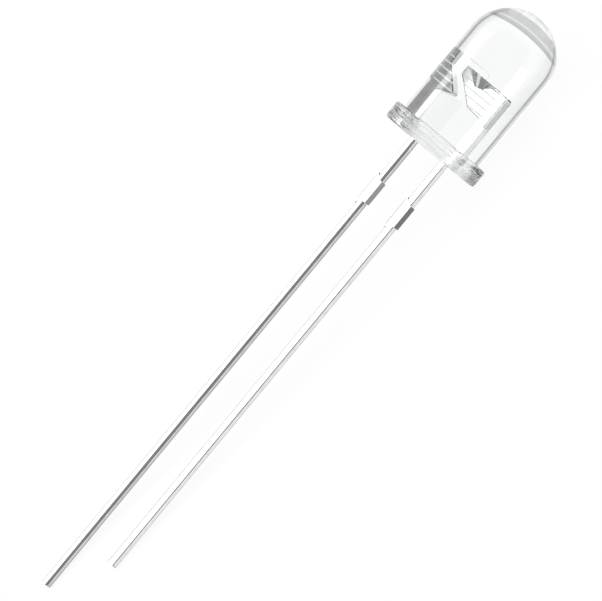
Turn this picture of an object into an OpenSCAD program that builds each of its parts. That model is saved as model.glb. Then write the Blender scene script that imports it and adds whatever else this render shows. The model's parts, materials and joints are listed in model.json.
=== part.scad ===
// Round through hole light emitting diode with a clear domed lens and two long leads.
//
// The pieces are drawn standing in the lens frame. There the seating face of the flange
// is z = 0, +Z runs along the lens axis to the dome, +X points to the cathode, and the
// sheet of the lead frame lies in the XZ plane with its front face towards -Y.
// at_rest() then lays them down the way the diode comes to rest on a table, on the rim
// of its flange and the tips of both leads. The origin stays in the middle of the
// seating face, and the dome points along +X.

/* [Lens] */
// Diameter of the lens body
body_d = 5.0; // [4.2:0.05:7.0]
// Height of the dome's top above the seating face
lens_h = 8.95; // [7.4:0.05:11.0]
// How far the flange stands out from the body
flange_lip = 0.45; // [0.25:0.01:0.8]
// Thickness of the flange
flange_h = 1.0; // [0.6:0.05:1.5]
// How far the flange's flat on the cathode side stands out from the body
flat_lip = 0.15; // [0.0:0.01:0.24]
// Round on the upper and lower edges of the flange
flange_edge_r = 0.12; // [0.04:0.01:0.25]

/* [Leads] */
// Distance between the middles of the two leads
lead_pitch = 2.54; // [2.2:0.01:2.8]
// Width of a lead across the face of the sheet
lead_w = 0.52; // [0.4:0.01:0.6]
// Thickness of the lead frame's sheet
sheet_t = 0.42; // [0.35:0.01:0.5]
// Round on the long edges of a lead
lead_edge_r = 0.17; // [0.02:0.01:0.17]
// Length of the anode lead below the seating face
anode_len = 30.2; // [22:0.1:38]
// Length of the cathode lead below the seating face
cathode_len = 27.1; // [20:0.1:34]
// Bevel at the cut tip of a lead
tip_bevel = 0.1; // [0.02:0.01:0.15]

/* [Dam bar stubs] */
// Distance from the seating face down to the middle of the stubs
stub_drop = 3.5; // [2.0:0.1:8.0]
// Length of the sheared strip on the narrow side of a stub
stub_shear_len = 1.4; // [0.8:0.01:2.0]
// Length of the square end on the wide side of a stub
stub_end_len = 1.0; // [0.5:0.01:1.6]
// Length of each slope beside that square end
stub_slope_len = 0.5; // [0.2:0.01:1.0]
// How far the wide side of a stub stands out from the lead
stub_wide = 0.1; // [0.05:0.01:0.4]
// How far the narrow side of a stub stands out from the lead
stub_narrow = 0.02; // [0.01:0.01:0.3]

/* [Cathode post and anvil] */
// Width of the cathode post inside the lens
cathode_post_w = 0.39; // [0.25:0.01:0.5]
// How far the cathode post and anvil stand out past the lead's outer edge
cathode_out = 0.13; // [0:0.01:0.25]
// Height of the anvil's top above the seating face
anvil_top = 4.73; // [4.2:0.01:5.2]
// How far the anvil's end stands out past the cup's rim
anvil_land = 0.015; // [0:0.005:0.1]
// Height of the upright end of the anvil
anvil_end_h = 0.54; // [0.2:0.01:0.7]
// Distance from the anvil's top down to the foot of its sloping flank
anvil_h = 1.7; // [1.4:0.01:2.0]
// Distance from the lens axis to the foot of that flank
anvil_foot = 0.17; // [0:0.01:0.4]
// Slope of the anvil's underside
anvil_under_angle = 5; // [0:1:10]
// Fillet between the anvil's underside and its post
anvil_fillet_r = 0.28; // [0.1:0.01:0.4]
// Round on the anvil's outer top corner
anvil_corner_r = 0.22; // [0.05:0.01:0.4]

/* [Reflector cup] */
// Distance of the cup's middle from the lens axis, towards the cathode
cup_x = -0.07; // [-0.1:0.01:0.1]
// Outer radius of the cup at its rim
cup_outer_r = 0.775; // [0.65:0.005:0.85]
// Height of the cup's outer cone
cup_cone_h = 0.7; // [0.6:0.01:1.0]
// Outer radius of the cup at the foot of that cone
cup_root_r = 0.15; // [0.1:0.01:0.17]
// Thickness of the cup's rim
cup_rim_t = 0.175; // [0.1:0.005:0.25]
// Radius of the cup's flat floor
cup_floor_r = 0.28; // [0.24:0.01:0.32]
// Depth of the cup
cup_depth = 0.42; // [0.3:0.01:0.5]

/* [Anode post and head] */
// Width of the anode post inside the lens
anode_post_w = 0.36; // [0.25:0.01:0.5]
// How far the anode post stands out past the lead's outer edge
anode_out = 0; // [0:0.01:0.25]
// How far the head stands out past its post
head_out = 0.1; // [0:0.01:0.2]
// How far the head's flat top stands above the anvil's top
head_rise = 0.31; // [0.1:0.01:0.5]
// Length of the flat that the bond wire is stitched to
head_flat = 0.28; // [0.24:0.01:0.4]
// Height of the upright side between that flat and the head's slope
head_side_h = 0.74; // [0.4:0.01:1.0]
// Distance from the head's top down to the top of its blunt point
head_point_drop = 1.82; // [1.5:0.01:1.9]
// Height of the blunt point
head_point_h = 0.16; // [0.08:0.01:0.2]
// Level distance from the blunt point to the anvil's flank
head_gap = 0.69; // [0.3:0.01:0.9]
// Distance from the head's top down to the foot of its outer step
head_step_drop = 2.0; // [1.6:0.01:2.1]
// Slope of the head's underside
head_under_angle = 30; // [5:1:35]
// Fillet between the head's underside and its post
head_fillet_r = 0.2; // [0.1:0.01:0.3]

/* [Grooves] */
// Number of grooves coined across the front of both heads
groove_count = 5; // [1:1:5]
// Distance from one groove to the next
groove_pitch = 0.37; // [0.25:0.01:0.38]
// Distance from the anode head's top down to the first groove
groove_drop = 0.43; // [0.35:0.01:0.5]
// Depth of a groove
groove_depth = 0.045; // [0.01:0.005:0.06]

/* [Chip and bond wire] */
// Side of the square chip
chip_side = 0.28; // [0.2:0.01:0.32]
// Height of the chip
chip_h = 0.18; // [0.1:0.01:0.22]
// Diameter of the round pad on top of the chip
pad_d = 0.11; // [0.09:0.01:0.14]
// Thickness of that pad
pad_t = 0.01; // [0.005:0.005:0.02]
// Thickness of the silver paste under the chip
paste_t = 0.02; // [0.01:0.005:0.04]
// How high the paste climbs the sides of the chip
paste_climb = 0.05; // [0.02:0.01:0.08]
// Width of the paste around the corners of the chip
paste_rim = 0.02; // [0.01:0.005:0.03]
// Diameter of the bond wire
wire_d = 0.025; // [0.025:0.005:0.05]
// Radius of the ball that starts the wire on the chip
ball_r = 0.04; // [0.03:0.005:0.045]
// Height of that ball after bonding
ball_h = 0.03; // [0.02:0.005:0.05]
// Height of the wire's level run above the anode head
loop_rise = 0.04; // [0.03:0.005:0.15]
// Radius of the bend above the chip
loop_r = 0.2; // [0.1:0.01:0.25]
// Radius of the bend down to the stitch
stitch_bend_r = 0.2; // [0.15:0.01:0.4]
// Length of the flattened stitch
stitch_len = 0.14; // [0.1:0.01:0.2]
// Width of the stitch
stitch_w = 0.07; // [0.05:0.01:0.1]
// Thickness of the stitch
stitch_t = 0.022; // [0.02:0.001:0.03]

/* [Hidden] */
$fn = 64;
cut = 0.01; // how far a cutting shape runs past the face that it cuts

body_r = body_d / 2;
flange_r = body_r + flange_lip;
dome_z = lens_h - body_r;
flat_x = body_r + flat_lip;

// Where the lead frame's edges stand, from the lens axis
lead_x = lead_pitch / 2;
cathode_outer_x = lead_x + lead_w / 2 + cathode_out;
cathode_inner_x = cathode_outer_x - cathode_post_w;
anvil_end_x = cup_x - cup_outer_r - anvil_land;
anvil_under_z = anvil_top - anvil_h;
anode_outer_x = -lead_x - lead_w / 2 - anode_out;
anode_inner_x = anode_outer_x + anode_post_w;
head_outer_x = anode_outer_x - head_out;

// The head's point keeps its distance from the anvil's flank
head_top = anvil_top + head_rise;
point_z = head_top - head_point_drop - head_point_h;
flank_run = (anvil_foot - anvil_end_x) / (anvil_h - anvil_end_h);
point_x = anvil_foot - (point_z + head_point_h - anvil_under_z) * flank_run - head_gap;

// Inside the flange a lead narrows or steps over to its post between these two heights
post_foot_z = flange_h * 0.55;
post_start_z = flange_h * 0.85;

// The cup's recess keeps its slope past the rim
cup_rim_r = cup_outer_r - cup_rim_t;
cup_slope = (cup_rim_r - cup_floor_r) / cup_depth;
cup_floor_z = anvil_top - cup_depth;
chip_z = cup_floor_z + paste_t;
pad_top_z = chip_z + chip_h + pad_t;
paste_r = chip_side * sqrt(2) / 2 + paste_rim;

// Heights of the grooves, from the top down
groove_zs = [for (i = [0 : groove_count - 1]) head_top - groove_drop - i * groove_pitch];

// The wire's level run, where its two bends begin, and how far the second one turns.
// The places are rounded to a micrometre, so that the stretches meet end to end.
function to_micron(v) = round(v * 1000) / 1000;
level_z = to_micron(head_top + loop_rise);
riser_top_z = level_z - loop_r;
stitch_x = to_micron(head_outer_x + head_flat / 2);
stitch_turn = acos(1 - (loop_rise - wire_d * 0.52) / stitch_bend_r);
bend_x = to_micron(stitch_x + stitch_bend_r * sin(stitch_turn));
loop_x = cup_x - loop_r;

// The diode lies on the flange's rim and the lower corners of both lead tips. The way
// down in the lens frame is (lean * dip, 1, -dip), for which all three lie equally low.
half_t = sheet_t / 2;
lean = (anode_len - cathode_len) / lead_pitch;
arm = (anode_len + cathode_len) / 2 + lean * lead_w / 2;
dip_a = arm * arm - flange_r * flange_r * lean * lean;
dip_c = flange_r * flange_r - half_t * half_t;
dip = (sqrt(half_t * half_t * arm * arm + dip_a * dip_c) - half_t * arm) / dip_a;
roll = atan(lean * dip);
tilt = atan(dip / sqrt(1 + lean * lean * dip * dip));

// Lays a piece drawn in the lens frame down at rest
module at_rest() {
    rotate([0, -tilt, 0]) rotate([roll, 0, 0]) rotate([-90, 0, -90]) children();
}

// Raises an outline drawn as x and z into a sheet centred on the XZ plane
module sheet(t = sheet_t) {
    rotate([90, 0, 0]) linear_extrude(height = t, center = true) children();
}

// Points along an arc
function arc(cx, cz, r, from, to, steps = 8) =
    [for (i = [0 : steps]) let (a = from + (to - from) * i / steps) [cx + r * cos(a), cz + r * sin(a)]];

// Cross section of a lead, with its long edges rounded
module lead_section() {
    square([lead_w, sheet_t - 2 * lead_edge_r], center = true);
    square([lead_w - 2 * lead_edge_r, sheet_t], center = true);
    for (x = [-1, 1], y = [-1, 1])
        translate([x * (lead_w / 2 - lead_edge_r), y * (sheet_t / 2 - lead_edge_r)]) circle(r = lead_edge_r);
}

// The stub that is left where the dam bar was sheared off, as an outline about its middle
module stub_outline() {
    polygon([
        [lead_w / 2 + stub_narrow, -stub_shear_len / 2],
        [lead_w / 2 + stub_narrow, stub_shear_len / 2],
        [-lead_w / 2 + lead_edge_r, stub_shear_len / 2],
        [-lead_w / 2, stub_end_len / 2 + stub_slope_len],
        [-lead_w / 2 - stub_wide, stub_end_len / 2],
        [-lead_w / 2 - stub_wide, -stub_end_len / 2],
        [-lead_w / 2, -stub_end_len / 2 - stub_slope_len],
        [-lead_w / 2 + lead_edge_r, -stub_shear_len / 2]
    ]);
}

// Side view of a lead with its tip bevelled, to cut the bar with
module tip_outline(len) {
    polygon([
        [-lead_w, post_foot_z + cut],
        [-lead_w, tip_bevel * 2 - len],
        [-lead_w / 2, tip_bevel - len],
        [-lead_w / 2 + tip_bevel, -len],
        [lead_w / 2 - tip_bevel, -len],
        [lead_w / 2, tip_bevel - len],
        [lead_w, tip_bevel * 2 - len],
        [lead_w, post_foot_z + cut]
    ]);
}

// The straight part of a lead, from its tip to just inside the flange
module lead_bar(x, len) {
    translate([x, 0, 0]) {
        intersection() {
            translate([0, 0, -len]) linear_extrude(height = len + post_foot_z) lead_section();
            sheet(sheet_t * 2) tip_outline(len);
        }
        translate([0, 0, -stub_drop]) sheet() stub_outline();
    }
}

// The step from a lead's width at post_foot_z to the post's width at post_start_z
module post_step(x, inner, outer) {
    sheet() polygon([
        [x - lead_w / 2, post_foot_z],
        [x + lead_w / 2, post_foot_z],
        [max(inner, outer), post_start_z],
        [min(inner, outer), post_start_z]
    ]);
}

// V grooves coined across the front face of a head, between two distances from the axis
module grooves(from, to) {
    side = groove_depth * sqrt(2);
    for (z = groove_zs)
        translate([(from + to) / 2, -sheet_t / 2, z])
            rotate([45, 0, 0])
                cube([to - from, side, side], center = true);
}

// Outline of the cathode's post and anvil
module anvil_outline() {
    fillet_x = cathode_inner_x - anvil_fillet_r;
    under_z = anvil_under_z - (fillet_x - anvil_foot) * tan(anvil_under_angle);
    fillet_z = under_z - anvil_fillet_r / cos(anvil_under_angle);
    polygon(concat(
        [[cathode_outer_x, post_start_z]],
        arc(cathode_outer_x - anvil_corner_r, anvil_top - anvil_corner_r, anvil_corner_r, 0, 90),
        [
            [anvil_end_x, anvil_top],
            [anvil_end_x, anvil_top - anvil_end_h],
            [anvil_foot, anvil_under_z]
        ],
        arc(fillet_x, fillet_z, anvil_fillet_r, 90 - anvil_under_angle, 0),
        [[cathode_inner_x, post_start_z]]
    ));
}

// Outline of the anode's post and head
module head_outline() {
    step_z = head_top - head_step_drop;
    under_z = point_z - (point_x - anode_inner_x) * tan(head_under_angle);
    reach = head_fillet_r * tan(45 - head_under_angle / 2);
    polygon(concat(
        [
            [anode_inner_x, post_start_z],
            [anode_outer_x, post_start_z],
            [anode_outer_x, step_z - head_out],
            [head_outer_x, step_z],
            [head_outer_x, head_top],
            [head_outer_x + head_flat, head_top],
            [head_outer_x + head_flat, head_top - head_side_h],
            [point_x, point_z + head_point_h],
            [point_x, point_z]
        ],
        arc(anode_inner_x + head_fillet_r, under_z - reach, head_fillet_r, 90 + head_under_angle, 180)
    ));
}

// The cup swaged into the anvil's top, whose cone bulges out of both faces of the sheet
module cup_cone() {
    translate([cup_x, 0, anvil_top - cup_cone_h]) cylinder(h = cup_cone_h, r1 = cup_root_r, r2 = cup_outer_r);
}

module cup_recess() {
    translate([cup_x, 0, cup_floor_z])
        cylinder(h = cup_depth + cut, r1 = cup_floor_r, r2 = cup_rim_r + cut * cup_slope);
}

module cathode_shape() {
    lead_bar(lead_x, cathode_len);
    post_step(lead_x, cathode_inner_x, cathode_outer_x);
    difference() {
        union() {
            difference() {
                sheet() anvil_outline();
                grooves(anvil_end_x - cut, cathode_outer_x + cut);
            }
            cup_cone();
        }
        cup_recess();
    }
}

module anode_shape() {
    lead_bar(-lead_x, anode_len);
    post_step(-lead_x, anode_inner_x, anode_outer_x);
    difference() {
        sheet() head_outline();
        grooves(head_outer_x - cut, point_x + cut);
    }
}

module chip_body() {
    translate([cup_x - chip_side / 2, -chip_side / 2, chip_z]) cube([chip_side, chip_side, chip_h]);
}

module die_shape() {
    chip_body();
    translate([cup_x, 0, chip_z + chip_h]) cylinder(h = pad_t, d = pad_d);
}

module paste_shape() {
    difference() {
        translate([cup_x, 0, cup_floor_z])
            cylinder(h = paste_t + paste_climb, r1 = paste_r, r2 = paste_r - paste_climb / 2);
        chip_body();
    }
}

// A bend of the wire in the XZ plane about a centre, between two angles
module wire_bend(cx, cz, r, from, to) {
    translate([cx, 0, cz]) rotate([90, 0, 0]) rotate([0, 0, from])
        rotate_extrude(angle = to - from) translate([r, 0]) circle(d = wire_d, $fn = 16);
}

// Ball, riser, bend, level run, second bend and stitch
module wire_shape() {
    translate([cup_x, 0, pad_top_z]) cylinder(h = ball_h, r = ball_r);
    translate([cup_x, 0, pad_top_z]) cylinder(h = riser_top_z - pad_top_z, d = wire_d, $fn = 16);
    wire_bend(loop_x, riser_top_z, loop_r, 0, 90);
    translate([bend_x, 0, level_z]) rotate([0, 90, 0]) cylinder(h = loop_x - bend_x, d = wire_d, $fn = 16);
    wire_bend(bend_x, level_z - stitch_bend_r, stitch_bend_r, 90, 90 + stitch_turn);
    translate([stitch_x - stitch_len / 2, -stitch_w / 2, head_top]) cube([stitch_len, stitch_w, stitch_t]);
}

// Outside of the moulding: flange with its flat, body and dome
module lens_outline() {
    cylinder(h = dome_z, r = body_r);
    translate([0, 0, dome_z]) sphere(r = body_r);
    difference() {
        rotate_extrude() flange_profile();
        translate([flat_x, -flange_r, -cut]) cube([flange_lip, 2 * flange_r, flange_h + 2 * cut]);
    }
}

// Half section of the flange, with both outer edges rounded
module flange_profile() {
    square([flange_r - flange_edge_r, flange_h]);
    translate([0, flange_edge_r]) square([flange_r, flange_h - 2 * flange_edge_r]);
    for (z = [flange_edge_r, flange_h - flange_edge_r])
        translate([flange_r - flange_edge_r, z]) circle(r = flange_edge_r);
}

// One casting of clear epoxy that fills every space round the lead frame
module lens() {
    color([0.90, 0.93, 0.94, 0.35]) at_rest() difference() {
        lens_outline();
        cathode_shape();
        anode_shape();
        die_shape();
        paste_shape();
        wire_shape();
    }
}

// Cathode: lead, post, anvil and reflector cup, stamped from one sheet
module cathode_lead() {
    color([0.78, 0.79, 0.80]) at_rest() cathode_shape();
}

// Anode: lead, post and head, stamped from the same sheet
module anode_lead() {
    color([0.78, 0.79, 0.80]) at_rest() anode_shape();
}

// Light emitting chip with its bond pad
module die() {
    color([0.16, 0.17, 0.20]) at_rest() die_shape();
}

// Silver paste that holds the chip on the cup's floor
module die_attach() {
    color([0.62, 0.62, 0.60]) at_rest() paste_shape();
}

// Gold wire from the chip to the anode's head
module bond_wire() {
    color([0.90, 0.72, 0.36]) at_rest() wire_shape();
}

lens();
cathode_lead();
anode_lead();
die();
die_attach();
bond_wire();
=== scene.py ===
import json
import math

import bmesh
import bpy
from mathutils import Matrix, Vector


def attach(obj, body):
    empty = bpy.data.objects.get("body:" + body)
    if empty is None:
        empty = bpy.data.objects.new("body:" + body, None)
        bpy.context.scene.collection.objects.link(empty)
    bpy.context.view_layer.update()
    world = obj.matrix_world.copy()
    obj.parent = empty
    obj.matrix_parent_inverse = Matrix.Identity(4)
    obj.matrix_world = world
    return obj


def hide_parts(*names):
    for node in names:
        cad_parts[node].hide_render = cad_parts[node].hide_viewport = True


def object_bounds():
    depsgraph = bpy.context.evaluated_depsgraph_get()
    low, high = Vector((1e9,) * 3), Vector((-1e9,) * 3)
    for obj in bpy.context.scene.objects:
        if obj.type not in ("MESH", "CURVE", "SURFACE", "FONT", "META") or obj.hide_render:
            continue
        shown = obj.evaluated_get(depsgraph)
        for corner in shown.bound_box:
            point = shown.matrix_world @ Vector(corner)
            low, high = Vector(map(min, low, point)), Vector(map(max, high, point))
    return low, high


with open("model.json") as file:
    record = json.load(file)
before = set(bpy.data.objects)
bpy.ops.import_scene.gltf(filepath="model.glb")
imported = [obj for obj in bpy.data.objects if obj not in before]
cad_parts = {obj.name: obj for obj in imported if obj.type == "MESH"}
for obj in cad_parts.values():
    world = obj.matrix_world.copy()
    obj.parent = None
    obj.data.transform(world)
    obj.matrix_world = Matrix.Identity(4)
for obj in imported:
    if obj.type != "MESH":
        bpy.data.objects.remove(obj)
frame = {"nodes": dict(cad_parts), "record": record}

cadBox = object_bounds()
mm = 0.001

# Everything inside the diode is set out in the lens frame: z runs up the lens axis to
# the dome, x points to the cathode and the sheet of the lead frame faces -y.
restPose = {
    "tilt": math.degrees(math.asin(-frame["record"]["mounts"][1]["axis"][2])),
    "roll": 6.6326,  # the diode leans over on its two unequal lead tips
}


def turn(degrees, axis):
    return Matrix.Rotation(math.radians(degrees), 4, axis)


lensToRow = turn(-restPose["tilt"], "Y") @ turn(restPose["roll"], "X") @ turn(-90, "Z") @ turn(-90, "X")
rowToLens = lensToRow.inverted()


def linear(hexColour):
    parts = [int(hexColour[i:i + 2], 16) / 255 for i in (1, 3, 5)]
    return tuple(c / 12.92 if c < 0.04045 else ((c + 0.055) / 1.055) ** 2.4 for c in parts) + (1.0,)


def addNode(tree, kind, inputs=None, **settings):
    node = tree.nodes.new(kind)
    for name, value in settings.items():
        setattr(node, name, value)
    for name, value in (inputs or {}).items():
        if isinstance(value, bpy.types.NodeSocket):
            tree.links.new(value, node.inputs[name])
        else:
            node.inputs[name].default_value = value
    return node


def setTones(ramp, tones, places=(0.0, 1.0)):
    for stop, place, tone in zip(ramp.color_ramp.elements, places, tones):
        stop.position = place
        stop.color = linear(tone)


def newMaterial(name):
    material = bpy.data.materials.new(name)
    material.use_nodes = True
    material.node_tree.nodes.clear()
    return material, material.node_tree


# Object coordinates turned into the lens frame and counted in millimetres
def lensPlace(tree, stretch=(1, 1, 1)):
    here = addNode(tree, "ShaderNodeTexCoord")
    turned = addNode(tree, "ShaderNodeMapping", {
        "Vector": here.outputs["Object"],
        "Rotation": rowToLens.to_euler(),
    })
    scaled = addNode(tree, "ShaderNodeMapping", {
        "Vector": turned.outputs["Vector"],
        "Scale": [s / mm for s in stretch],
    })
    return scaled.outputs["Vector"]


# Lens: one casting of clear epoxy, turned from its half section

lensShape = {
    "bodyRadius": frame["record"]["mounts"][0]["dims"]["r_mm"],
    "height": 8.95,
    "flangeRadius": 2.95,
    "flangeHeight": 1.0,
    "flatDistance": 2.65,  # from the axis to the flat at the cathode's side
    "flatMargin": 0.001,  # over the flange's top, so that the flat cuts its edge too
    "edgeRound": 0.12,
    "edgeSteps": 8,
    "wallSteps": 12,
    "domeRings": 72,
    "segments": 384,
    "creaseAngle": 30,
    "weld": 1e-4,  # mm
}

lensFinish = {
    "ior": 1.53,
    "tones": ("#fdfefe", "#f9fcfc"),
    "cloudsPerMm": 2.2,
    "haze": 0.02,  # roughness of the cloudiest places
    "swellsPerMm": 0.9,
    "swellHeight": 0.01,  # mm
    "shadowTone": "#f4f6f6",
    "wallFrom": 2.6,  # mm from the axis, past the body and on the flange
    "wallFull": 2.64,
    "clearRoughness": 0.09,  # of the flange's wall, which is clear in some streaks
    "dullRoughness": 0.46,  # and satin in others
    "streaksPerMm": (0.6, 0.6, 3.2),
    "ripplesPerMm": (0.3, 0.3, 2.5),
    "rippleHeight": 0.2,  # mm
    "marksPerMm": 3.6,  # wandering rings of painted shade round the flange's wall, for the dark arcs the clear flange shows
    "ringShadeWidth": 0.14,  # share of the wave that a ring of painted shade takes up
    "ringShadeDepth": 0.25,  # how much the painted shade of a ring darkens the tint
}


def arc(cx, cz, radius, start, end, steps):
    angles = [math.radians(start + (end - start) * i / steps) for i in range(steps + 1)]
    return [(cx + radius * math.cos(a), cz + radius * math.sin(a)) for a in angles]


def lensHalfSection(shape):
    radius, edge = shape["bodyRadius"], shape["edgeRound"]
    rim = shape["flangeRadius"] - edge
    shoulder, domeFoot = shape["flangeHeight"], shape["height"] - radius
    rise = (domeFoot - shoulder) / shape["wallSteps"]
    points = [(0, 0), (rim / 2, 0)]
    points += arc(rim, edge, edge, -90, 0, shape["edgeSteps"])
    points += arc(rim, shoulder - edge, edge, 0, 90, shape["edgeSteps"])
    points += [(radius, shoulder + rise * i) for i in range(shape["wallSteps"])]
    points += arc(0, domeFoot, radius, 0, 90, shape["domeRings"])
    return points


# The tree copies the half section round the axis on a grid, closes the seam and the
# poles, and presses the flange's wall in to the flat.
def turnedCastingTree(material, weld):
    tree = bpy.data.node_groups.new("turnedCasting", "GeometryNodeTree")
    face = tree.interface
    face.new_socket("Geometry", in_out="INPUT", socket_type="NodeSocketGeometry")
    face.new_socket("Segments", in_out="INPUT", socket_type="NodeSocketInt")
    face.new_socket("Flat Distance", in_out="INPUT", socket_type="NodeSocketFloat")
    face.new_socket("Flat Height", in_out="INPUT", socket_type="NodeSocketFloat")
    face.new_socket("Crease Angle", in_out="INPUT", socket_type="NodeSocketFloat")
    face.new_socket("Geometry", in_out="OUTPUT", socket_type="NodeSocketGeometry")
    given = addNode(tree, "NodeGroupInput").outputs

    size = addNode(tree, "GeometryNodeAttributeDomainSize", {"Geometry": given["Geometry"]})
    rows = size.outputs["Point Count"]
    columns = addNode(tree, "ShaderNodeMath", {0: given["Segments"], 1: 1.0}, operation="ADD").outputs[0]
    grid = addNode(tree, "GeometryNodeMeshGrid", {"Vertices X": columns, "Vertices Y": rows})
    index = addNode(tree, "GeometryNodeInputIndex").outputs[0]
    row = addNode(tree, "ShaderNodeMath", {0: index, 1: rows}, operation="MODULO").outputs[0]
    share = addNode(tree, "ShaderNodeMath", {0: index, 1: rows}, operation="DIVIDE").outputs[0]
    column = addNode(tree, "ShaderNodeMath", {0: share}, operation="FLOOR").outputs[0]
    turnShare = addNode(tree, "ShaderNodeMath", {
        0: column, 1: given["Segments"],
    }, operation="DIVIDE").outputs[0]
    angle = addNode(tree, "ShaderNodeMath", {0: turnShare, 1: 2 * math.pi}, operation="MULTIPLY").outputs[0]

    place = addNode(tree, "GeometryNodeInputPosition").outputs[0]
    section = addNode(tree, "GeometryNodeSampleIndex", {
        "Geometry": given["Geometry"], "Value": place, "Index": row,
    }, data_type="FLOAT_VECTOR", domain="POINT").outputs["Value"]
    swung = addNode(tree, "ShaderNodeVectorRotate", {
        "Vector": section, "Angle": angle,
    }, rotation_type="Z_AXIS").outputs[0]
    turned = addNode(tree, "GeometryNodeSetPosition", {
        "Geometry": grid.outputs["Mesh"], "Position": swung,
    })

    split = addNode(tree, "ShaderNodeSeparateXYZ", {
        0: addNode(tree, "GeometryNodeInputPosition").outputs[0],
    })
    pressed = addNode(tree, "ShaderNodeMath", {
        0: split.outputs["X"], 1: given["Flat Distance"],
    }, operation="MINIMUM").outputs[0]
    flatPlace = addNode(tree, "ShaderNodeCombineXYZ", {
        "X": pressed, "Y": split.outputs["Y"], "Z": split.outputs["Z"],
    }).outputs[0]
    low = addNode(tree, "FunctionNodeCompare", {
        0: split.outputs["Z"], 1: given["Flat Height"],
    }, data_type="FLOAT", operation="LESS_THAN").outputs[0]
    flattened = addNode(tree, "GeometryNodeSetPosition", {
        "Geometry": turned.outputs[0], "Selection": low, "Position": flatPlace,
    })
    closed = addNode(tree, "GeometryNodeMergeByDistance", {
        "Geometry": flattened.outputs[0], "Distance": weld,
    })

    smooth = addNode(tree, "GeometryNodeSetShadeSmooth", {0: closed.outputs[0]}, domain="FACE")
    bend = addNode(tree, "GeometryNodeInputMeshEdgeAngle").outputs["Unsigned Angle"]
    sharp = addNode(tree, "FunctionNodeCompare", {
        0: bend, 1: given["Crease Angle"],
    }, data_type="FLOAT", operation="GREATER_THAN").outputs[0]
    creased = addNode(tree, "GeometryNodeSetShadeSmooth", {
        0: smooth.outputs[0], "Selection": sharp, "Shade Smooth": False,
    }, domain="EDGE")
    real = addNode(tree, "GeometryNodeRealizeInstances", {0: creased.outputs[0]})
    finished = addNode(tree, "GeometryNodeSetMaterial", {
        "Geometry": real.outputs[0], "Material": material,
    })
    addNode(tree, "NodeGroupOutput", {0: finished.outputs[0]})
    return tree


def setTreeInputs(modifier, values):
    for item in modifier.node_group.interface.items_tree:
        if item.item_type == "SOCKET" and item.in_out == "INPUT" and item.name in values:
            modifier[item.identifier] = values[item.name]


# The evaluated object as a plain mesh in an object of its own, placed in the row frame
def baked(worker, name, matrix):
    evaluated = worker.evaluated_get(bpy.context.evaluated_depsgraph_get())
    mesh = bpy.data.meshes.new_from_object(evaluated)
    mesh.transform(matrix)
    mesh.name = name
    piece = bpy.data.objects.new(name, mesh)
    bpy.context.collection.objects.link(piece)
    bpy.data.objects.remove(worker, do_unlink=True)
    return piece


def pointOutwards(mesh):
    work = bmesh.new()
    work.from_mesh(mesh)
    bmesh.ops.recalc_face_normals(work, faces=work.faces)
    work.to_mesh(mesh)
    work.free()


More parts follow.
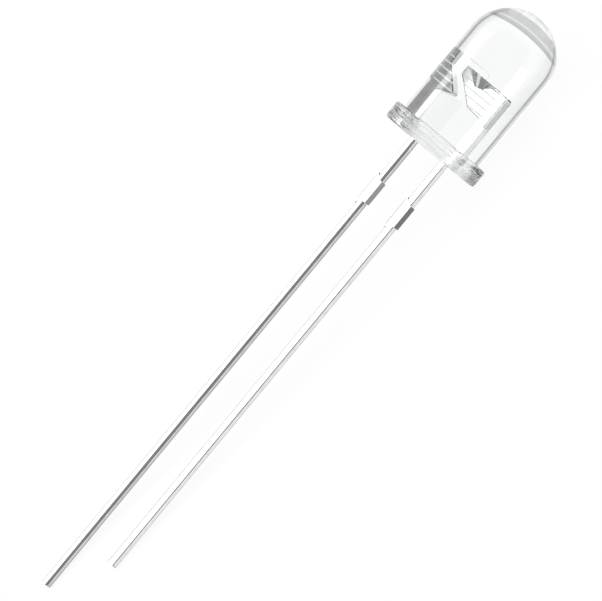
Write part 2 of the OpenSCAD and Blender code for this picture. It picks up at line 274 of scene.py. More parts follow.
# Water-clear epoxy, cast in a polished mould: a glassy skin with a very slight swell,
# the faintest cool tint in depth, and no grain
def castEpoxy(finish):
    material, tree = newMaterial("castEpoxy")
    place = lensPlace(tree)
    swell = addNode(tree, "ShaderNodeTexNoise", {
        "Vector": place, "Scale": finish["swellsPerMm"], "Detail": 1.0,
    })
    swollen = addNode(tree, "ShaderNodeBump", {
        "Height": swell.outputs["Fac"], "Strength": 0.12, "Distance": finish["swellHeight"] * mm,
    })
    cloud = addNode(tree, "ShaderNodeTexNoise", {
        "Vector": place, "Scale": finish["cloudsPerMm"], "Detail": 2.0,
    })
    haze = addNode(tree, "ShaderNodeMapRange", {
        "Value": cloud.outputs["Fac"], "From Min": 0.35, "From Max": 0.75,
        "To Min": 0.0, "To Max": finish["haze"],
    }).outputs[0]
    tint = addNode(tree, "ShaderNodeValToRGB", {"Fac": cloud.outputs["Fac"]})
    setTones(tint, finish["tones"])

    # The mould's cavity is polished down to the flange. The flange's wall is left as the resin
    # sets in the mould's mouth: rippled, clear in some streaks and satin in others. Faint wavering
    # rings of painted shade darken its tint, for the dark arcs that the clear flange shows
    flat = addNode(tree, "ShaderNodeVectorMath", {0: place, 1: (1, 1, 0)}, operation="MULTIPLY").outputs[0]
    reach = addNode(tree, "ShaderNodeVectorMath", {0: flat}, operation="LENGTH").outputs["Value"]
    onWall = addNode(tree, "ShaderNodeMapRange", {
        "Value": reach, "From Min": finish["wallFrom"], "From Max": finish["wallFull"],
    }).outputs[0]
    streak = addNode(tree, "ShaderNodeTexNoise", {
        "Vector": lensPlace(tree, finish["streaksPerMm"]), "Scale": 1.0, "Detail": 2.0,
    })
    dull = addNode(tree, "ShaderNodeMapRange", {
        "Value": streak.outputs["Fac"], "From Min": 0.46, "From Max": 0.6,
        "To Min": finish["clearRoughness"], "To Max": finish["dullRoughness"],
    }).outputs[0]
    roughness = addNode(tree, "ShaderNodeMath", {0: onWall, 1: dull, 2: haze}, operation="MULTIPLY_ADD")
    wander = addNode(tree, "ShaderNodeTexNoise", {
        "Vector": lensPlace(tree, finish["ripplesPerMm"]), "Scale": 1.0, "Detail": 2.0, "Distortion": 0.8,
    })
    offset = addNode(tree, "ShaderNodeMath", {
        0: wander.outputs["Fac"], 1: 0.5,
    }, operation="SUBTRACT").outputs[0]
    rise = addNode(tree, "ShaderNodeMath", {0: offset, 1: onWall}, operation="MULTIPLY").outputs[0]
    rippled = addNode(tree, "ShaderNodeBump", {
        "Height": rise, "Strength": 1.0, "Distance": finish["rippleHeight"] * mm,
        "Normal": swollen.outputs[0],
    })
    # Rings of painted shade on the flange's wall, darkening the tint of the epoxy there
    # At a scale of 1, a wave is pi / 10 long
    marks = addNode(tree, "ShaderNodeTexWave", {
        "Vector": place, "Scale": finish["marksPerMm"] * math.pi / 10, "Distortion": 4.5, "Detail": 1.0,
        "Detail Scale": 0.5,
    }, bands_direction="Z")
    line = addNode(tree, "ShaderNodeMapRange", {
        "Value": marks.outputs["Fac"], "From Max": finish["ringShadeWidth"],
        "To Min": finish["ringShadeDepth"], "To Max": 0.0,
    }).outputs[0]
    taken = addNode(tree, "ShaderNodeMath", {0: line, 1: onWall}, operation="MULTIPLY").outputs[0]
    left = addNode(tree, "ShaderNodeMath", {0: 1.0, 1: taken}, operation="SUBTRACT").outputs[0]
    ringShadedTint = addNode(tree, "ShaderNodeVectorMath", {
        0: tint.outputs[0], "Scale": left,
    }, operation="SCALE").outputs[0]

    epoxy = addNode(tree, "ShaderNodeBsdfPrincipled", {
        "Base Color": ringShadedTint, "Roughness": roughness.outputs[0], "Normal": rippled.outputs[0],
        "IOR": finish["ior"], "Transmission Weight": 1.0,
    })
    clear = addNode(tree, "ShaderNodeBsdfTransparent", {"Color": linear(finish["shadowTone"])})
    path = addNode(tree, "ShaderNodeLightPath")
    shaded = addNode(tree, "ShaderNodeMixShader", {
        0: path.outputs["Is Shadow Ray"], 1: epoxy.outputs[0], 2: clear.outputs[0],
    })
    addNode(tree, "ShaderNodeOutputMaterial", {"Surface": shaded.outputs[0]})
    return material


def makeLens(shape, material):
    section = bpy.data.meshes.new("lensSection")
    points = [(x * mm, 0, z * mm) for x, z in lensHalfSection(shape)]
    section.from_pydata(points, [(i, i + 1) for i in range(len(points) - 1)], [])
    worker = bpy.data.objects.new("lensWorker", section)
    bpy.context.collection.objects.link(worker)
    modifier = worker.modifiers.new("turned", "NODES")
    modifier.node_group = turnedCastingTree(material, shape["weld"] * mm)
    setTreeInputs(modifier, {
        "Segments": shape["segments"],
        "Flat Distance": shape["flatDistance"] * mm,
        "Flat Height": (shape["flangeHeight"] + shape["flatMargin"]) * mm,
        "Crease Angle": math.radians(shape["creaseAngle"]),
    })
    piece = baked(worker, "castLens", lensToRow)
    pointOutwards(piece.data)
    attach(piece, "root")
    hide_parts("lens")
    return piece


lens = makeLens(lensShape, castEpoxy(lensFinish))
print("lens turned:", len(lens.data.polygons), "faces")


# Lead frame: stamped from one strip of steel and tin plated

tinFinish = {
    "tones": ("#dcdddd", "#ecedec"),
    "rollingPerMm": (14, 14, 0.35),  # rolling lines about 0.05 mm apart
    "rollingHeight": 0.002,  # mm
    "rollingShare": 0.6,  # how far the rolling lines vary the gloss, next to the patches
    "patchesPerMm": 2.5,
    "roughness": (0.06, 0.14),
}

shearAndShadeFinish = {
    "tearsPerMm": (4, 30, 4),
    "tearHeight": 0.004,  # mm
    "roughness": 0.38,
    # dark grey painted shade on the rounded cut edges
    "edgeShadeTones": ("#8b8d8d", "#a9abab"),
    # grey painted shade on the anvil's cut side, for the shadow that this face mirrors
    "anvilSideShadeTones": ("#c2c4c4", "#d0d2d2"),
}


# Tin plated strip steel: bright satin with fine rolling lines along the strip and a
# little unevenness in the plating
def tinPlate(finish):
    material, tree = newMaterial("tinPlate")
    rolled = addNode(tree, "ShaderNodeTexNoise", {
        "Vector": lensPlace(tree, finish["rollingPerMm"]), "Scale": 1.0, "Detail": 2.0,
    })
    plated = addNode(tree, "ShaderNodeTexNoise", {
        "Vector": lensPlace(tree), "Scale": finish["patchesPerMm"], "Detail": 3.0,
    })
    mixed = addNode(tree, "ShaderNodeMath", {
        0: rolled.outputs["Fac"], 1: finish["rollingShare"], 2: plated.outputs["Fac"],
    }, operation="MULTIPLY_ADD")
    colour = addNode(tree, "ShaderNodeValToRGB", {"Fac": plated.outputs["Fac"]})
    setTones(colour, finish["tones"], (0.3, 0.7))
    brightest, dullest = finish["roughness"]
    roughness = addNode(tree, "ShaderNodeMapRange", {
        "Value": mixed.outputs[0], "From Min": 0.4, "From Max": 1.2, "To Min": brightest, "To Max": dullest,
    })
    bump = addNode(tree, "ShaderNodeBump", {
        "Height": rolled.outputs["Fac"], "Strength": 0.2, "Distance": finish["rollingHeight"] * mm,
    })
    tin = addNode(tree, "ShaderNodeBsdfPrincipled", {
        "Base Color": colour.outputs[0], "Roughness": roughness.outputs[0], "Normal": bump.outputs[0],
        "Metallic": 1.0,
    })
    addNode(tree, "ShaderNodeOutputMaterial", {"Surface": tin.outputs[0]})
    return material


# The same strip where the press sheared it: torn and dull, in grey tones that are given. On the
# rounded edges and the cathode's anvil side the grey is painted shade, on the stubs partly so
def shearedAndShadedTin(name, tones, finish):
    material, tree = newMaterial(name)
    torn = addNode(tree, "ShaderNodeTexNoise", {
        "Vector": lensPlace(tree, finish["tearsPerMm"]), "Scale": 1.0, "Detail": 3.0,
    })
    colour = addNode(tree, "ShaderNodeValToRGB", {"Fac": torn.outputs["Fac"]})
    setTones(colour, tones, (0.3, 0.7))
    bump = addNode(tree, "ShaderNodeBump", {
        "Height": torn.outputs["Fac"], "Strength": 0.4, "Distance": finish["tearHeight"] * mm,
    })
    tin = addNode(tree, "ShaderNodeBsdfPrincipled", {
        "Base Color": colour.outputs[0], "Roughness": finish["roughness"], "Normal": bump.outputs[0],
        "Metallic": 1.0,
    })
    addNode(tree, "ShaderNodeOutputMaterial", {"Surface": tin.outputs[0]})
    return material


stamping = {
    "edgeRound": 0.05,  # mm, the soft edge that the punch and the plating leave
    "stubRound": 0.15,  # the edge that the press draws in when it cuts the dam bar away
    "edgeSteps": 4,
    "creaseAngle": 30,
    "roundedAbove": 0.6,  # mm; below this the CAD lead has rounded edges of its own
    "grooveFloor": 0.165,  # from the middle of the sheet to the bottom of a CAD groove
    "platedFloor": 0.196,  # the same once the plating has half filled the groove
    "stubMiddle": -3.5,
    "stubHalf": 0.75,
    "stubCorner": 0.2,  # at each end of a stub's cut side, where its edges stay as they are
    "postTop": 2.75,  # where the post ends and the cut side of the cathode's anvil begins
    "sheetHalf": 0.21,
    "leadHalf": 0.26,
    "leadRound": 0.17,  # edge radius of the CAD lead
    "tipBevel": 0.1,
    "tipReach": 0.3,  # how far up from the tip its bevel can reach
    "crispBelow": 0.61,  # just over the end of the CAD lead's rounded edges
    "faceMargin": 0.001,  # how far a CAD point can be off the face it lies on
    "arcMargin": 0.004,  # and off the arc of a rounded edge
    "weld": 2e-4,
    "rank": (1, 0.37, 0.11),  # direction along which a lead's points and faces are counted
    "flatWithin": 0.5,  # degrees that a flat CAD face's normals can stray
    "mergeWithin": 0.1,
    "squareOn": 0.99,  # least share of its normal for a face that faces one way
    "edgeOn": 0.02,  # and greatest share for one that is square to that way
    "leansBack": 0.05,  # from this share on, a face of the stub belongs to its drawn-in side
}

leadFinish = {
    "cathode_lead": {
        "pieceName": "cathodeLead",
        "leadAcross": 1.27,
        "frontRound": 0.06,
        # sheared grey, painted darker with shade on the cathode's stub
        "stubGreyAndShadeTones": ("#6f7171", "#858787"),
    },
    "anode_lead": {
        "pieceName": "anodeLead",
        "leadAcross": -1.27,
        "frontRound": 0.17,
        # sheared grey, painted lighter than the cathode's stub
        "stubGreyAndShadeTones": ("#a8aaaa", "#bcbebe"),
    },
}


def lensHeight(point):
    return (rowToLens @ point).z / mm


def lensNormal(face):
    return rowToLens.to_3x3() @ face.normal


# A copy of a CAD mesh with its flat faces merged and its curved ones marked as smooth
def mergedCopy(source, setup):
    work = bmesh.new()
    work.from_mesh(source)
    for face, drawn in zip(work.faces, source.polygons):
        straying = [drawn.normal.angle(source.corner_normals[i].vector) for i in drawn.loop_indices]
        face.smooth = max(straying) > math.radians(setup["flatWithin"])
    bmesh.ops.remove_doubles(work, verts=work.verts, dist=setup["weld"] * mm)
    bmesh.ops.dissolve_limit(
        work, angle_limit=math.radians(setup["mergeWithin"]), verts=work.verts, edges=work.edges,
    )
    return work


# Raises the floors of the coined grooves, which the plating fills a little
def plateGrooves(work, setup):
    for vert in work.verts:
        place = rowToLens @ vert.co
        onFloor = abs(place.y / mm + setup["grooveFloor"]) < setup["faceMargin"]
        if onFloor and lensHeight(vert.co) > setup["roundedAbove"]:
            place.y = -setup["platedFloor"] * mm
            vert.co = lensToRow @ place


# Below the lens, draws the edge between a lead's front and its right side to a smaller
# radius than the CAD edge has, and keeps to the bevel at the tip
def crispEdge(work, setup, finish):
    old, new = setup["leadRound"] * mm, finish["frontRound"] * mm
    corner = Vector((finish["leadAcross"] + setup["leadHalf"], -setup["sheetHalf"])) * mm
    tip = min((rowToLens @ vert.co).z for vert in work.verts)
    for vert in work.verts:
        place = rowToLens @ vert.co
        out = place.xy - (corner + Vector((-old, old)))
        inCorner = min(out.x, -out.y) > -setup["faceMargin"] * mm
        onArc = inCorner and abs(out.length - old) < setup["arcMargin"] * mm
        if onArc and place.z < setup["crispBelow"] * mm:
            moved = corner + Vector((-new, new)) + out.normalized() * new
            if place.z < tip + setup["tipReach"] * mm:
                place.z = tip + max(0, moved.x - corner.x + setup["tipBevel"] * mm)
            vert.co = lensToRow @ Vector((moved.x, moved.y, place.z))


# Rounds the edges between the sheet's two faces and its cut sides, inside the lens and on
# the stub, and gives back the faces this makes. The press pushes the dam bar out towards
# the cathode, so the stub's other side is drawn in further.
def roundCutEdges(work, setup):
    def onStub(edge, margin):
        away = [abs(lensHeight(vert.co) - setup["stubMiddle"]) for vert in edge.verts]
        return max(away) < setup["stubHalf"] - margin

    def isCut(edge):
        inLens = all(lensHeight(vert.co) > setup["roundedAbove"] for vert in edge.verts)
        facing = sorted(abs(lensNormal(face).y) for face in edge.link_faces)
        square = len(facing) == 2 and facing[0] < setup["edgeOn"] and facing[1] > setup["squareOn"]
        return square and (inLens or onStub(edge, setup["stubCorner"]))

    def isDrawnIn(edge):
        turnedAway = any(lensNormal(face).x < -setup["squareOn"] for face in edge.link_faces)
        return onStub(edge, 0) and turnedAway

    cut = [edge for edge in work.edges if isCut(edge)]
    drawnIn = [edge for edge in cut if isDrawnIn(edge)]
    others = [edge for edge in cut if edge not in drawnIn]
    rounded = []
    for edges, size in ((drawnIn, "stubRound"), (others, "edgeRound")):
        made = bmesh.ops.bevel(
            work, geom=edges, offset=setup[size] * mm, offset_type="OFFSET",
            segments=setup["edgeSteps"], profile=0.5, affect="EDGES", clamp_overlap=False,
        )
        rounded += made["faces"]
    return rounded


# Gives the rounded edges and the cut side of the cathode's anvil a grey of painted shade, and
# the stub a dull sheared grey that is partly painted shade. Two of the post's edges, at
# opposite corners of it, are as bright as its faces.
def shadeAndDullCutFaces(work, rounded, setup, slots):
    for face in rounded:
        face.smooth = True
        onPost = 0 < lensHeight(face.calc_center_median()) < setup["postTop"]
        facing = lensNormal(face)
        # The rounded edges take a grey of painted shade, except two bright edges of the post
        face.material_index = slots["plated" if onPost and facing.x * facing.y < 0 else "edge"]
    for face in work.faces:
        sideways = lensNormal(face).x
        height = lensHeight(face.calc_center_median())
        onStub = abs(height - setup["stubMiddle"]) < setup["stubHalf"]
        # The stubs take a sheared grey with painted shade that differs from lead to lead
        if onStub and (sideways > setup["squareOn"] or sideways < -setup["leansBack"]):
            face.material_index = slots["stub"]
        # The cut side of the cathode's anvil takes a grey of painted shade
        elif sideways > setup["squareOn"] and height > setup["postTop"]:
            face.material_index = slots["anvil"]


# A lead of the frame as it leaves the plating bath
def stampedLead(nodeName, setup, finish, materials):
    slots = {name: count for count, name in enumerate(materials)}
    work = mergedCopy(frame["nodes"][nodeName].data, setup)
    plateGrooves(work, setup)
    crispEdge(work, setup, finish)
    bmesh.ops.bisect_plane(
        work, geom=work.verts[:] + work.edges[:] + work.faces[:], dist=setup["weld"] / 2 * mm,
        plane_co=lensToRow @ Vector((0, 0, setup["postTop"] * mm)),
        plane_no=lensToRow.to_3x3() @ Vector((0, 0, 1)),
    )
    work.normal_update()
    shadeAndDullCutFaces(work, roundCutEdges(work, setup), setup, slots)

    # Rounding the edges makes its faces in no fixed order, so they are put in one here
    rank = Vector(setup["rank"])
    work.verts.sort(key=lambda vert: vert.co.dot(rank))
    work.faces.sort(key=lambda face: face.calc_center_median().dot(rank))

    curved = [face.smooth for face in work.faces]
    mesh = bpy.data.meshes.new(finish["pieceName"])
    work.to_mesh(mesh)
    work.free()
    mesh.set_sharp_from_angle(angle=math.radians(setup["creaseAngle"]))
    mesh.polygons.foreach_set("use_smooth", curved)
    for material in materials.values():
        mesh.materials.append(material)
    piece = bpy.data.objects.new(finish["pieceName"], mesh)
    bpy.context.collection.objects.link(piece)
    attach(piece, "root")
    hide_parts(nodeName)


plated = tinPlate(tinFinish)
# Painted shade on the rounded cut edges and on the cathode's anvil side, sheared grey on the stubs
edge = shearedAndShadedTin("paintedShadeEdge", shearAndShadeFinish["edgeShadeTones"], shearAndShadeFinish)
anvil = shearedAndShadedTin("paintedShadeAnvil", shearAndShadeFinish["anvilSideShadeTones"], shearAndShadeFinish)
for nodeName, finish in leadFinish.items():
    stub = shearedAndShadedTin(finish["pieceName"] + "Stub", finish["stubGreyAndShadeTones"], shearAndShadeFinish)
    stampedLead(nodeName, stamping, finish, {"plated": plated, "edge": edge, "stub": stub, "anvil": anvil})
print("lead frame stamped")


# Chip, paste and wire: the CAD pieces as they are, in materials of their own

chipFinish = {
    "tones": ("#23262c", "#3a3f48"),
    "grainPerMm": 40,
    "roughness": 0.3,
    "ior": 2.4,
    "padFoot": 4.512,  # mm above the seating face, just over the chip's top
    "padTone": "#dcb970",
    "padRoughness": 0.22,
}

pasteFinish = {
    "tones": ("#b9b9b6", "#8f8f8c"),
    "flakesPerMm": 60,
    "roughness": 0.55,
    "metallic": 0.7,
}

wireFinish = {
    "tones": ("#ebe4d0", "#f5f0e4"),
    "marksPerMm": 30,
    "roughness": 0.2,
}


# Sawn semiconductor chip: dark and glassy, with a gold pad evaporated on its top
def sawnChip(finish):
    material, tree = newMaterial("sawnChip")
    place = lensPlace(tree)
    grain = addNode(tree, "ShaderNodeTexNoise", {
        "Vector": place, "Scale": finish["grainPerMm"], "Detail": 2.0,
    })
    colour = addNode(tree, "ShaderNodeValToRGB", {"Fac": grain.outputs["Fac"]})
    setTones(colour, finish["tones"])
    height = addNode(tree, "ShaderNodeSeparateXYZ", {0: place}).outputs["Z"]
    onPad = addNode(tree, "ShaderNodeMath", {
        0: height, 1: finish["padFoot"],
    }, operation="GREATER_THAN").outputs[0]
    surface = addNode(tree, "ShaderNodeMix", {
        "Factor": onPad, 6: colour.outputs[0], 7: linear(finish["padTone"]),
    }, data_type="RGBA").outputs[2]
    roughness = addNode(tree, "ShaderNodeMapRange", {
        "Value": onPad, "To Min": finish["roughness"], "To Max": finish["padRoughness"],
    }).outputs[0]
    chip = addNode(tree, "ShaderNodeBsdfPrincipled", {
        "Base Color": surface, "Roughness": roughness, "Metallic": onPad, "IOR": finish["ior"],
    })
    addNode(tree, "ShaderNodeOutputMaterial", {"Surface": chip.outputs[0]})
    return material


# Silver filled epoxy paste, dispensed and cured: matt grey with metal flakes
def silverPaste(finish):
    material, tree = newMaterial("silverPaste")
    flakes = addNode(tree, "ShaderNodeTexVoronoi", {
        "Vector": lensPlace(tree), "Scale": finish["flakesPerMm"],
    })
    colour = addNode(tree, "ShaderNodeValToRGB", {"Fac": flakes.outputs["Distance"]})
    setTones(colour, finish["tones"])
    paste = addNode(tree, "ShaderNodeBsdfPrincipled", {
        "Base Color": colour.outputs[0], "Roughness": finish["roughness"], "Metallic": finish["metallic"],
    })
    addNode(tree, "ShaderNodeOutputMaterial", {"Surface": paste.outputs[0]})
    return material


# Gold wire, drawn and bonded: bright and pale, with very faint drawing marks
def drawnGold(finish):
    material, tree = newMaterial("drawnGold")
    marks = addNode(tree, "ShaderNodeTexNoise", {
        "Vector": lensPlace(tree), "Scale": finish["marksPerMm"], "Detail": 1.0,
    })
    colour = addNode(tree, "ShaderNodeValToRGB", {"Fac": marks.outputs["Fac"]})
    setTones(colour, finish["tones"])
    gold = addNode(tree, "ShaderNodeBsdfPrincipled", {
        "Base Color": colour.outputs[0], "Roughness": finish["roughness"], "Metallic": 1.0,
    })
    addNode(tree, "ShaderNodeOutputMaterial", {"Surface": gold.outputs[0]})
    return material


def dress(nodeName, material):
    data = frame["nodes"][nodeName].data
    data.materials.clear()
    data.materials.append(material)


dress("die", sawnChip(chipFinish))
dress("die_attach", silverPaste(pasteFinish))
dress("bond_wire", drawnGold(wireFinish))
print("chip, paste and wire dressed")


# Camera: a long lens, far off, looking down on the front of the lead frame

cameraSetup = {
    "swing": 38.8,  # degrees round the lens axis, from the front face towards the cathode
    "lift": 2.0,  # degrees towards the dome
    "distance": 0.4,  # metres, as is the clipping
    "focal": 460.2,
    "sensorWidth": 36,
    "clipStart": 0.01,
    "axisAcross": 0.638,  # share of the picture's width direction that runs along the lens axis
    "aimRight": -6.673,  # from the seating face to the middle of the picture, in mm
    "aimUp": -7.743,
}


def aimCamera(setup):
    swing, lift = math.radians(setup["swing"]), math.radians(setup["lift"])
    level = math.cos(lift)
    towards = Vector((math.sin(swing) * level, -math.cos(swing) * level, math.sin(lift)))
    along = (Vector((0, 0, 1)) - towards * math.sin(lift)).normalized()
    across = along.cross(towards)
    c, s = setup["axisAcross"], math.sqrt(1 - setup["axisAcross"] ** 2)
    right, up = along * c + across * s, along * s - across * c
    target = (right * setup["aimRight"] + up * setup["aimUp"]) * mm
    rotation = lensToRow.to_3x3() @ Matrix((right, up, towards)).transposed()
    stand = Matrix.Translation(lensToRow @ (target + towards * setup["distance"]))
    camera = bpy.data.objects.new("camera", bpy.data.cameras.new("camera"))
    camera.data.lens = setup["focal"]
    camera.data.sensor_width = setup["sensorWidth"]
    camera.data.clip_start = setup["clipStart"]
    camera.matrix_world = stand @ rotation.to_4x4()
    bpy.context.collection.objects.link(camera)
    bpy.context.scene.camera = camera


aimCamera(cameraSetup)


# Studio: a white floor, one large soft lamp overhead, cards below the diode, two strip
# lamps, and surroundings whose brightness goes round the lens axis

studio = {
    "floorSide": 0.6,  # metres, as are the lamp's sizes
    "floorTones": ("#f4f4f4", "#f7f7f7"),
    "fibresPerMm": 3.0,
    "floorWhite": 0.9,  # share of plain white in what the floor shows, so its shadows stay faint
    "lampHeight": 0.25,
    "lampSide": 0.3,
    "lampPower": 0.55,
    "plainLight": 0.55,  # what falls on matt surfaces
    "paperLevel": 1.03,  # what shiny and clear faces see of white surroundings
    "lampReach": 0.12,  # slope along the lens axis at which the lamps begin to fade
    "lampFade": 0.15,
    "roomReach": 0.5,  # and at which the dark room between them begins to end
    "roomFade": 0.25,
    "roomEnd": 0.9,  # the brightness that it ends in
}


def plainMesh(name, points, faces, material):
    mesh = bpy.data.meshes.new(name)
    mesh.from_pydata(points, [], faces)
    mesh.materials.append(material)
    item = bpy.data.objects.new(name, mesh)
    bpy.context.collection.objects.link(item)
    return item


def makeFloor(setup):
    material, tree = newMaterial("paperFloor")
    fibre = addNode(tree, "ShaderNodeTexNoise", {"Vector": lensPlace(tree), "Scale": setup["fibresPerMm"]})
    colour = addNode(tree, "ShaderNodeValToRGB", {"Fac": fibre.outputs["Fac"]})
    setTones(colour, setup["floorTones"])
    paper = addNode(tree, "ShaderNodeBsdfDiffuse", {"Color": colour.outputs[0]})
    white = addNode(tree, "ShaderNodeEmission", {"Color": (1, 1, 1, 1), "Strength": 1.0})
    path = addNode(tree, "ShaderNodeLightPath").outputs
    shown = path["Is Camera Ray"]
    for kind in ("Is Glossy Ray", "Is Transmission Ray"):
        shown = addNode(tree, "ShaderNodeMath", {0: shown, 1: path[kind]}, operation="MAXIMUM").outputs[0]
    share = addNode(tree, "ShaderNodeMath", {0: shown, 1: setup["floorWhite"]}, operation="MULTIPLY")
    mixed = addNode(tree, "ShaderNodeMixShader", {
        0: share.outputs[0], 1: paper.outputs[0], 2: white.outputs[0],
    })
    addNode(tree, "ShaderNodeOutputMaterial", {"Surface": mixed.outputs[0]})
    half, low = setup["floorSide"] / 2, cadBox[0].z
    corners = [(-half, -half, low), (half, -half, low), (half, half, low), (-half, half, low)]
    floor = plainMesh("floor", corners, [(0, 1, 2, 3)], material)
    floor.visible_glossy = False
    floor.visible_transmission = False


# Cards under the diode, that only its shiny and clear faces see. They are parallel to the
# sheet of the lead frame, and their outlines are drawn in mm on it: a white one reaches from
# under the cathode's side to the foot of the lens, and a grey one under both leads is a
# painted shadow of them on the floor.
cards = {
    "whiteCard": {
        "light": 1.0,
        "tones": ("#fbfbfb", "#ffffff"),
        "below": 3.3,
        "outline": [(2.9, -34), (10, -34), (10, 3), (-2.6, 3), (-2.6, 0.6), (2.9, 0.6)],
    },
    # painted shadow: a grey card for the leads' shadow on the floor
    "paintedShadowCard": {
        "light": 0.6,
        "tones": ("#fbfbfb", "#ffffff"),
        "below": 3.3,
        "outline": [(-6, -34), (2.9, -34), (2.9, -0.4), (-6, -0.4)],
    },
}


def makeCard(name, setup):
    material, tree = newMaterial(name)
    sheet = addNode(tree, "ShaderNodeTexNoise", {"Vector": lensPlace(tree), "Scale": 1.0})
    colour = addNode(tree, "ShaderNodeValToRGB", {"Fac": sheet.outputs["Fac"]})
    setTones(colour, setup["tones"])
    glow = addNode(tree, "ShaderNodeEmission", {"Color": colour.outputs[0], "Strength": setup["light"]})
    addNode(tree, "ShaderNodeOutputMaterial", {"Surface": glow.outputs[0]})
    points = [lensToRow @ (Vector((x, setup["below"], z)) * mm) for x, z in setup["outline"]]
    card = plainMesh(name, points, [range(len(points))], material)
    card.visible_camera = False
    card.visible_diffuse = False
    card.visible_shadow = False


# Strip lamps that are seen in reflections alone: they stand upright on a circle round the
# lens axis, each between two angles and with soft edges, and end just over the dome's foot
stripLamps = {
    "circle": 20,  # mm
    "low": 0.0,
    "high": 6.8,
    "light": 7.5,
    "steps": 8,
    "spans": {
        "frontStrip": {"from": -57.0, "to": -26.5, "feather": 10.0},
        "sideStrip": {"from": 75.5, "to": 108.0, "feather": 7.0},
    },
}


def makeStrip(name, span, setup):
    material, tree = newMaterial(name)
    x, y, z = addNode(tree, "ShaderNodeSeparateXYZ", {0: lensPlace(tree)}).outputs
    back = addNode(tree, "ShaderNodeMath", {0: y, 1: -1.0}, operation="MULTIPLY").outputs[0]
    angle = addNode(tree, "ShaderNodeMath", {0: x, 1: back}, operation="ARCTAN2").outputs[0]
    glow = setup["light"]
    for end, inwards in ((span["from"], span["feather"]), (span["to"], -span["feather"])):
        fade = addNode(tree, "ShaderNodeMapRange", {
            "Value": angle, "From Min": math.radians(end), "From Max": math.radians(end + inwards),
        }, interpolation_type="SMOOTHSTEP").outputs[0]
        glow = addNode(tree, "ShaderNodeMath", {0: glow, 1: fade}, operation="MULTIPLY").outputs[0]
    lamp = addNode(tree, "ShaderNodeEmission", {"Color": (1, 1, 1, 1), "Strength": glow})
    addNode(tree, "ShaderNodeOutputMaterial", {"Surface": lamp.outputs[0]})

    points = []
    for count in range(setup["steps"] + 1):
        turned = math.radians(span["from"] + (span["to"] - span["from"]) * count / setup["steps"])
        foot = Vector((math.sin(turned), -math.cos(turned), 0)) * setup["circle"]
        for level in (setup["low"], setup["high"]):
            points.append(lensToRow @ ((foot + Vector((0, 0, level))) * mm))
    faces = [(2 * i, 2 * i + 2, 2 * i + 3, 2 * i + 1) for i in range(setup["steps"])]
    strip = plainMesh(name, points, faces, material)
    strip.visible_camera = False
    strip.visible_diffuse = False
    strip.visible_transmission = False
    strip.visible_shadow = False


# Brightness of the studio round the lens axis, where 1 is white paper and more is a
# lamp. The angle is 0 straight up, where the front of the lead frame faces, 90 on the
# cathode's side and 180 straight down. "clear" is what shows straight through the lens,
# "inLens" what the lead frame mirrors inside it, and "bare" what a bare glossy face
# mirrors.
studioBands = {
    "clear": [
        (-180, 1.0), (-112, 1.0), (-105, 0.94), (-89, 0.92), (-87, 0.35), (-83, 0.36), (-79, 0.56),
        (-75, 0.66), (-69, 0.78), (-63, 0.95), (-60, 2.4), (-31, 2.4), (-29, 1.0), (-22, 1.0),
        (-18, 0.33), (81, 0.33), (83, 2.4), (109, 2.4), (112, 0.66), (151, 0.66), (155, 0.4),
        (162, 0.4), (166, 0.88), (172, 0.93), (179, 1.0), (180, 1.0),
    ],
    "inLens": [
        (-180, 1.0), (-105, 0.94), (-66, 0.9), (-60, 2.4), (-31, 2.4), (-29, 1.0), (-22, 1.0),
        (-18, 0.33), (81, 0.33), (83, 2.4), (109, 2.4), (112, 1.0), (180, 1.0),
    ],
    "bare": [
        (-180, 1.0), (-112, 1.0), (-104, 0.9), (-100, 0.5), (-68, 0.5), (-63, 2.0), (-31, 2.0),
        (-28, 1.0), (-25, 1.0), (-21, 0.26), (81, 0.26), (84, 0.95), (106, 0.95), (111, 0.56),
        (151, 0.56), (155, 0.4), (162, 0.4), (166, 0.88), (172, 0.93), (179, 1.0), (180, 1.0),
    ],
}

# Share of that brightness along the lens axis, from -1 towards the leads to 1 towards
# the dome
studioHeights = {
    "clear": [
        (-1.0, 1.0), (-0.80, 1.0), (-0.77, 0.62), (-0.56, 0.62), (-0.54, 0.85), (-0.53, 0.85),
        (-0.51, 0.6), (-0.43, 0.5), (-0.41, 1.0), (1.0, 1.0),
    ],
    "inLens": [(-1.0, 0.35), (-0.90, 0.35), (-0.87, 1.0), (1.0, 1.0)],
    "bare": [(-1.0, 1.0), (1.0, 1.0)],
}


# The brightness that a list of stops gives for a value. The stops' places are counted in
# the given unit.
def brightnessRamp(tree, value, stops, unit):
    first, last = stops[0][0], stops[-1][0]
    share = addNode(tree, "ShaderNodeMapRange", {
        "Value": value, "From Min": first * unit, "From Max": last * unit,
    }).outputs[0]
    ramp = addNode(tree, "ShaderNodeValToRGB", {"Fac": share})
    elements = ramp.color_ramp.elements
    elements.remove(elements[-1])
    brightest = max(light for where, light in stops)
    for count, (where, light) in enumerate(stops):
        place = (where - first) / (last - first)
        stop = elements.new(place) if count else elements[0]
        stop.position = place
        stop.color = (light / brightest,) * 3 + (1,)
    return addNode(tree, "ShaderNodeMath", {
        0: ramp.outputs[0], 1: brightest,
    }, operation="MULTIPLY").outputs[0]


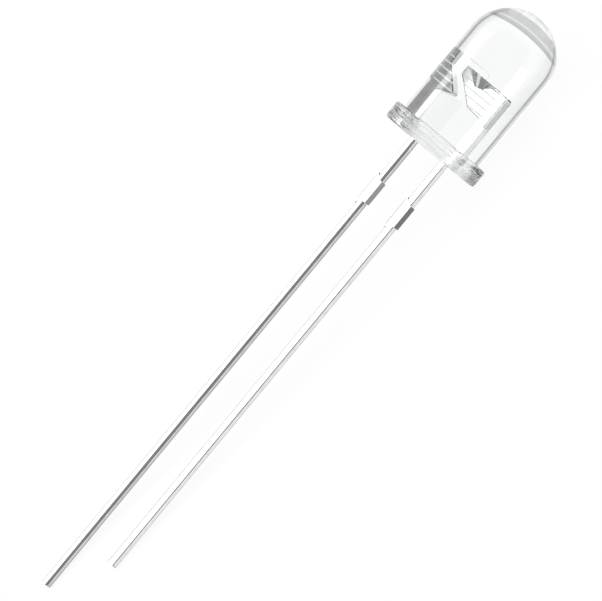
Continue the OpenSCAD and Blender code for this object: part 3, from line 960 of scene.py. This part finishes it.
# What the surroundings show to a shiny or clear face, for each kind of view. The lamps
# and the dark room between them end a little way along the axis.
def surroundings(tree, setup, bands, heights):
    look = addNode(tree, "ShaderNodeTexCoord").outputs["Generated"]
    turned = addNode(tree, "ShaderNodeMapping", {"Vector": look, "Rotation": rowToLens.to_euler()})
    x, y, z = addNode(tree, "ShaderNodeSeparateXYZ", {0: turned.outputs[0]}).outputs
    back = addNode(tree, "ShaderNodeMath", {0: y, 1: -1.0}, operation="MULTIPLY").outputs[0]
    angle = addNode(tree, "ShaderNodeMath", {0: x, 1: back}, operation="ARCTAN2").outputs[0]
    slope = addNode(tree, "ShaderNodeMath", {0: z}, operation="ABSOLUTE").outputs[0]
    lampEnd = addNode(tree, "ShaderNodeMapRange", {
        "Value": slope, "From Min": setup["lampReach"], "From Max": setup["lampReach"] + setup["lampFade"],
        "To Min": 1.0, "To Max": 0.0,
    }, interpolation_type="SMOOTHSTEP").outputs[0]
    roomEnd = addNode(tree, "ShaderNodeMapRange", {
        "Value": slope, "From Min": setup["roomReach"], "From Max": setup["roomReach"] + setup["roomFade"],
        "To Min": 0.0, "To Max": setup["roomEnd"],
    }).outputs[0]
    lit = {}
    for kind in bands:
        band = brightnessRamp(tree, angle, bands[kind], math.radians(1))
        height = brightnessRamp(tree, z, heights[kind], 1)
        paper = addNode(tree, "ShaderNodeMath", {0: band, 1: 1.0}, operation="MINIMUM").outputs[0]
        room = addNode(tree, "ShaderNodeMath", {0: paper, 1: roomEnd}, operation="MAXIMUM").outputs[0]
        wall = addNode(tree, "ShaderNodeMath", {0: room, 1: height}, operation="MULTIPLY").outputs[0]
        over = addNode(tree, "ShaderNodeMath", {0: band, 1: 1.0}, operation="SUBTRACT").outputs[0]
        lamp = addNode(tree, "ShaderNodeMath", {0: over, 1: 0.0}, operation="MAXIMUM").outputs[0]
        lit[kind] = addNode(tree, "ShaderNodeMath", {
            0: lamp, 1: lampEnd, 2: wall,
        }, operation="MULTIPLY_ADD").outputs[0]
    return lit


def makeWorld(setup, bands, heights):
    world = bpy.data.worlds.new("studio")
    world.use_nodes = True
    bpy.context.scene.world = world
    tree = world.node_tree
    tree.nodes.clear()
    lit = surroundings(tree, setup, bands, heights)
    path = addNode(tree, "ShaderNodeLightPath").outputs
    mirrored = addNode(tree, "ShaderNodeMath", {
        0: path["Glossy Depth"], 1: 1.0,
    }, operation="MINIMUM").outputs[0]
    inside = addNode(tree, "ShaderNodeMix", {0: mirrored, 2: lit["clear"], 3: lit["inLens"]}).outputs[0]
    shown = addNode(tree, "ShaderNodeMix", {
        0: path["Is Transmission Ray"], 2: lit["bare"], 3: inside,
    }).outputs[0]
    strength = addNode(tree, "ShaderNodeMath", {0: shown, 1: setup["paperLevel"]}, operation="MULTIPLY")
    seen = addNode(tree, "ShaderNodeBackground", {"Color": (1, 1, 1, 1), "Strength": strength.outputs[0]})
    plain = addNode(tree, "ShaderNodeBackground", {"Color": (1, 1, 1, 1), "Strength": setup["plainLight"]})
    white = addNode(tree, "ShaderNodeBackground", {"Color": (1, 1, 1, 1), "Strength": 1.0})
    shiny = addNode(tree, "ShaderNodeMath", {
        0: path["Is Glossy Ray"], 1: path["Is Transmission Ray"],
    }, operation="MAXIMUM").outputs[0]
    first = addNode(tree, "ShaderNodeMixShader", {0: shiny, 1: plain.outputs[0], 2: seen.outputs[0]})
    second = addNode(tree, "ShaderNodeMixShader", {
        0: path["Is Camera Ray"], 1: first.outputs[0], 2: white.outputs[0],
    })
    addNode(tree, "ShaderNodeOutputWorld", {"Surface": second.outputs[0]})


def makeLamp(setup):
    lamp = bpy.data.objects.new("overheadLamp", bpy.data.lights.new("overheadLamp", "AREA"))
    lamp.data.size = setup["lampSide"]
    lamp.data.energy = setup["lampPower"]
    lamp.location = (0, 0, setup["lampHeight"])
    lamp.visible_glossy = False
    lamp.visible_transmission = False
    bpy.context.collection.objects.link(lamp)


makeFloor(studio)
for cardName, cardSetup in cards.items():
    makeCard(cardName, cardSetup)
for stripName, span in stripLamps["spans"].items():
    makeStrip(stripName, span, stripLamps)
makeWorld(studio, studioBands, studioHeights)
makeLamp(studio)
bpy.context.scene.view_settings.view_transform = "Standard"
print("studio, lamp and camera set")
